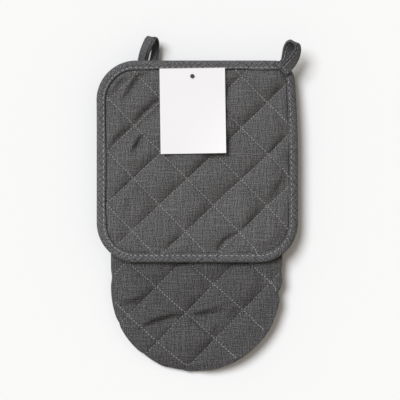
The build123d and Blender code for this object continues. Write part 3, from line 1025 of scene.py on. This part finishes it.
def mittStitches():
    def inside(xy):
        return np.minimum(mittInside(xy), cuffEnd - mitt["bindingWidth"] - 1 - xy[:, 1])

    for name, pad, quilt, side, node in (
            ("mittBackStitches", mittBackPad, backQuilt, 1, "mitt_back_quilting"),
            ("mittPalmStitches", mittPalmPad, palmQuilt, -1, "mitt_palm_quilting")):
        sewQuilting(name, pad, quilt, inside, 2.0, lambda spots: mittShape(spots, quilt, side), side,
                    body="mitt", replaced=(node,))


def seamStitches():
    # the hidden seam that closes the mitt, between its two layers
    line = mittEdge(2.2, 0.5, cuffEnd - mitt["bindingWidth"])
    line = mittShape(np.column_stack([line, np.full(len(line), mittMiddle)]), backQuilt)
    run = runningLength(line)
    spots = [int(np.searchsorted(run, step)) for step in np.arange(2, run[-1] - 2, mitt["seamPitch"])]
    places = [(line[k], line[k + 1] - line[k - 1], np.array([0.0, 0.0, 1.0])) for k in spots]
    sew("mittSeamStitches", places, *mitt["seamStitch"], body="mitt", slot="thread",
        replaced=("mitt_seam_stitching",))


mittStitches()
seamStitches()
print("mitt sewn")

cuff = {
    "cloth": 0.6,
    "turn": 12,          # how far in from each side the section's places lie closer together
    "stitchPitch": 5,
    "stitchIn": 8,
    "stitch": (3.6, 0.8),
    "proud": 0.35,       # how far the stitches stand out of the section
    "pucker": 0.15,
    "puckerAt": (7, 3),
    "skin": ((10.2, 0.15), (9.9, 0.55), (8, 0.35), (5, 0.7), (1.6, 0.75), (0.35, 0.3), (0, -0.8)),
}


def cuffRound():
    # the cuff's outline seen along the mitt: places and outward normals, once round
    share = np.linspace(0, 1, 16)
    inside = np.concatenate([cuff["turn"] * share ** 1.8, np.linspace(cuff["turn"], mittRadius, 40)[1:]])
    x = np.concatenate([inside - mittRadius, mittRadius - inside[::-1][1:]])
    rise = mittOuter(np.column_stack([x, np.full(len(x), cuffEnd - 1)]), backQuilt, mitt["backSeed"], False)
    top = np.column_stack([x, rise])
    ring = np.vstack([top, (top * (1, -1))[::-1][1:-1]])
    ahead = np.roll(ring, -1, axis=0) - np.roll(ring, 1, axis=0)
    normals = np.column_stack([-ahead[:, 1], ahead[:, 0]])
    return ring, normals / np.linalg.norm(normals, axis=1)[:, None]


def makeCuffBinding():
    # one tape folded over the cuff's edge, from the outside of the wall to its inside
    ring, normals = cuffRound()
    run = runningLength(ring, closed=True)
    outside = smoothPath([(*p, 0) for p in cuff["skin"]], 3)[:, :2]
    core = np.maximum(outside - (0, cuff["cloth"]), (0.6, -0.9))
    wall = (0, mitt["wall"] + 0.2)
    inside, under = [line * (1, -1) - wall for line in (outside, core)]
    section = np.vstack([outside, inside[::-1][1:], under, core[::-1]])
    place, width = cuff["puckerAt"]
    puckered = cuff["pucker"] * np.exp(-((section[:, 0] - place) / width) ** 2) * (section[:, 1] > 0)
    rings = []
    for k, (spot, normal) in enumerate(zip(ring, normals)):
        off = section[:, 1] + puckered * math.cos(math.tau * run[k] / cuff["stitchPitch"])
        rings.append(np.column_stack([spot[0] + normal[0] * off, cuffEnd - section[:, 0],
                                      mittMiddle + spot[1] + normal[1] * off]))
    across = runningLength(section, closed=True)
    tube("mittCuffBinding", np.array(rings), run, across, "biasBinding", True, body="mitt", slot="binding",
         replaced=("mitt_cuff_binding",))
    places = []
    count = round(run[-1] / cuff["stitchPitch"])
    for index in range(count):
        k = int(np.searchsorted(run[:-1], (index + 0.5) / count * run[-1])) % len(ring)
        normal = np.array([normals[k][0], 0, normals[k][1]])
        spot = np.array([ring[k][0], cuffEnd - cuff["stitchIn"], mittMiddle + ring[k][1]])
        ahead = ring[(k + 1) % len(ring)] - ring[k - 1]
        places.append((spot + normal * cuff["proud"], np.array([ahead[0], 0, ahead[1]]), normal))
    sew("mittCuffStitches", places, *cuff["stitch"], body="mitt", slot="thread",
        replaced=("mitt_cuff_stitching",))


makeCuffBinding()
print("cuff bound")

loops = {
    "width": 10.8,
    "thick": 1.8,
    "stitchPitch": 4.4,
    "stitch": (2.4, 0.5),
    "stitchRow": 1.1,                          # how far the stitches run from the groove
    "proud": {"holder": 0.02, "mitt": -0.14},  # how far the stitches stand out of the tape
    "open": {"holder": 1.1, "mitt": 1.2},      # how wide the groove stands open
    # the tape's right edge turns down this far, over a part of its width, along a part of its length
    "turnDown": {"holder": (0, 0.2, (0, 0.1, 0.2)), "mitt": (4.6, 0.25, (0.12, 0.24, 0.46))},
    # section across the tape: share of the half thickness at distances in from the stitched edge,
    # measured from the groove where the folded edges meet
    "ridge": {
        "holder": ((-0.9, 1.45), (-0.6, 1.25), (-0.35, 0.06), (0.4, 0.06), (0.75, 0.95), (1.1, 1.15)),
        "mitt": ((-0.95, 1), (-0.6, 1.3), (-0.4, 0.06), (0.4, 0.06), (0.6, 1.5), (0.85, 1.5)),
    },
    # each loop: the tape's left and right edge, station by station, and the groove's distance in
    # from the left edge (or from the right one, when negative)
    "holder": ((
        ((76, 157.5, 27), (82.8, 150.6, 27)),
        ((80.6, 158.6, 27.2), (85.7, 152.4, 27)),
        ((83.4, 160.6, 26.9), (90, 156.8, 26.4)),
        ((84.3, 164.1, 26.6), (93.8, 161.2, 25.4)),
        ((85.2, 169.6, 27), (96, 166.4, 24.6)),
        ((86.3, 173.7, 29.5), (97.6, 170.4, 24.8)),
        ((88.2, 177, 33), (99.4, 173.6, 26.2)),
        ((90.3, 178.1, 36), (98.8, 175.8, 27.6)),
        ((92.5, 178.3, 38.2), (100.6, 176.4, 30.2)),
        ((94.7, 176.3, 39), (102.6, 174.6, 32.2)),
        ((96.7, 174, 38.8), (103.2, 170, 33)),
        ((97.1, 171, 37.8), (102.4, 164.9, 32.6)),
        ((95.9, 168.6, 36.2), (101.6, 161.8, 31.6)),
        ((94, 166, 35), (100.3, 159.1, 30.2)),
        ((91.5, 162.6, 33), (98.2, 155.2, 29)),
        ((87.6, 158.8, 30.5), (95.4, 151.6, 27.7)),
        ((84.9, 155.6, 28.9), (92.4, 148.1, 27.2)),
        ((81.5, 151.5, 28.3), (88.4, 144.6, 27.6)),
    ), 1.35),
    "mitt": ((
        ((-54.1, 139.5, 12.7), (-44.3, 139.5, 12.7)),
        ((-54.4, 147, 13.2), (-44.7, 147, 13)),
        ((-56.6, 154, 14.2), (-47.7, 154, 14.8)),
        ((-58.4, 160.5, 14.8), (-49.1, 160.5, 17.6)),
        ((-56.2, 170.2, 17.6), (-45.9, 170.6, 21.4)),
        ((-52.6, 179.3, 17.8), (-41.2, 179.2, 21.6)),
        ((-50, 183.8, 16), (-39.2, 182.4, 18.4)),
        ((-48.4, 184.4, 13.4), (-38, 181.4, 14.2)),
        ((-46.6, 181.8, 10.4), (-37.2, 178, 11)),
        ((-45.4, 176.5, 8.8), (-37.2, 174.2, 9.6)),
        ((-45.2, 171, 8.2), (-36.9, 170.6, 9)),
        ((-46.2, 165, 8), (-37.8, 165, 8.8)),
        ((-47.6, 160.5, 8), (-39, 161, 8.8)),
        ((-52, 154, 9), (-42.4, 154, 9.8)),
        ((-54.2, 147, 10.9), (-44.4, 147, 10.9)),
        ((-54.1, 139.5, 11.1), (-44.3, 139.5, 11.1)),
    ), -1.95),
}


def tapeSection(groove, ridge, stretch):
    # half the section of a double-folded tape: share of the way across, share of the half thickness
    wide = loops["width"]
    places = [(0, 0), (0.15, 0.8), (wide / 2, 0.85), (wide - 1.8, 0.9), (wide - 0.8, 1), (wide - 0.2, 0.6),
              (wide, 0), (abs(groove) + 2.2, 0.9)]
    places += [(abs(groove) + off * stretch, height) for off, height in ridge]
    half = np.array(sorted(places)) / (wide, 1)
    return half if groove > 0 else half[::-1] * (-1, 1) + (1, 0)


def makeLoop(name, owner, blend, replaced, threadReplaced):
    stations, groove = loops[owner]
    lefts = smoothPath([left for left, right in stations], 6)
    rights = smoothPath([right for left, right in stations], 6)
    if owner == "holder":
        lefts, rights = sagged(lefts), sagged(rights)
    middle = (lefts + rights) / 2
    run = runningLength(middle)
    ahead = np.gradient(middle, axis=0)
    ways = rights - lefts
    out = np.cross(ways, ahead)
    out /= np.linalg.norm(out, axis=1)[:, None]
    half = tapeSection(groove, loops["ridge"][owner], loops["open"][owner])
    section = np.vstack([half, (half * (1, -1))[::-1][1:-1]])
    thick = loops["thick"] / 2
    down, part, (first, most, last) = loops["turnDown"][owner]
    turned = down * np.interp(run / run[-1], (first, most, last), (0, 1, 0))
    edge = np.clip((section[:, :1] - 1 + part) / part, 0, 1) ** 1.3
    rings = np.array([left + section[:, :1] * way + (section[:, 1:] * thick - edge * drop) * up
                      for left, way, up, drop in zip(lefts, ways, out, turned)])
    across = runningLength(section * (loops["width"], thick), closed=True)
    tape = tube(name, rings, run, across, "loopTape", False, slot="binding", replaced=replaced)
    places = []
    count = int(run[-1] / loops["stitchPitch"])
    row = (abs(groove) + loops["stitchRow"]) / loops["width"]
    row = 1 - row if groove < 0 else row
    for index in range(1, count):
        k = int(np.searchsorted(run, index / count * run[-1]))
        for face in (-1, 1):
            spot = lefts[k] + ways[k] * row + out[k] * face * (thick + loops["proud"][owner])
            places.append((spot, ahead[k], out[k] * face))
    if owner == "holder":
        # the bar of stitches that holds both ends to the corner
        for end, inward in ((0, 3), (-1, -4)):
            for share in (0.15, 0.5, 0.85):
                spot = lefts[end + inward] + ways[end + inward] * share + (0, 0, thick + 0.05)
                places.append((spot, ways[end], np.array([0.0, 0.0, 1.0])))
    stitches = sew(name + "Stitches", places, *loops["stitch"], slot="thread", replaced=threadReplaced)
    start, end = np.array(blend) * mm
    for piece in (tape, stitches):
        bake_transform(piece)


makeLoop("holderLoop", "holder", ((93.5, 152, 27.3), (97.5, 156, 27.3)),
         ("holder_loop_tail", "holder_loop_tape"), ("holder_loop_stitching", "holder_loop_bartack"))
makeLoop("mittLoop", "mitt", ((-49, 147.5, 12), (-49, 152, 12)),
         ("mitt_loop_tail", "mitt_loop_tape"), ("mitt_loop_stitching",))
print("loops made")

tag = {
    "turn": 0.8,
    "pin": (-4.1, 144.0),
    "hole": 1.5,
    "curl": 5.0,           # how far the free corner stands up
    "curlLeft": 18.0,      # the curl starts this far left of the pin
    "curlTop": 22.0,       # and this far below the top edge
}


def makeTag():
    low, high = cadBox("hang_tag_card")
    turn = math.radians(tag["turn"])
    wide, long = high[0] - low[0], high[1] - low[1]
    width = (wide * math.cos(turn) - long * math.sin(turn)) / math.cos(2 * turn)
    length = (long * math.cos(turn) - wide * math.sin(turn)) / math.cos(2 * turn)
    bpy.ops.object.select_all(action="DESELECT")
    bpy.ops.mesh.primitive_grid_add(x_subdivisions=28, y_subdivisions=36, size=mm)
    card = bpy.context.object
    card.name = "hangTag"
    card.scale = (width, length, 1)
    card.rotation_euler = (0, 0, turn)
    card.location = [(a + b) / 2 * mm for a, b in zip(low, high)]
    bpy.ops.object.transform_apply(location=True, rotation=True, scale=True)
    solid = card.modifiers.new("thickness", "SOLIDIFY")
    solid.thickness = (high[2] - low[2]) * mm
    solid.offset = 0
    bpy.ops.object.modifier_apply(modifier="thickness")
    bpy.ops.mesh.primitive_cylinder_add(vertices=32, radius=tag["hole"] * mm, depth=6 * mm,
                                        location=[*(value * mm for value in tag["pin"]), low[2] * mm])
    punch = bpy.context.object
    bpy.ops.object.select_all(action="DESELECT")
    bpy.context.view_layer.objects.active = card
    hole = card.modifiers.new("hole", "BOOLEAN")
    hole.object = punch
    hole.operation = "DIFFERENCE"
    bpy.ops.object.modifier_apply(modifier="hole")
    bpy.data.objects.remove(punch)
    left, upper = tag["pin"][0] - tag["curlLeft"], high[1] - tag["curlTop"]
    for vertex in card.data.vertices:
        right = max(0, (vertex.co.x / mm - left) / (high[0] - left))
        down = max(0, (upper - vertex.co.y / mm) / (upper - low[1]))
        vertex.co.z += tag["curl"] * mm * right ** 2 * down ** 1.5 + 0.5 * mm * down
    card.data.uv_layers.new(name="UVMap")
    card.data.materials.clear()
    card.data.materials.append(finishes["card"])
    dress(card, "tag", ("hang_tag_card",))


makeTag()
print("tag hung")

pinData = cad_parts["tag_pin"].data
pinData.materials.clear()
pinData.materials.append(finishes["pin"])
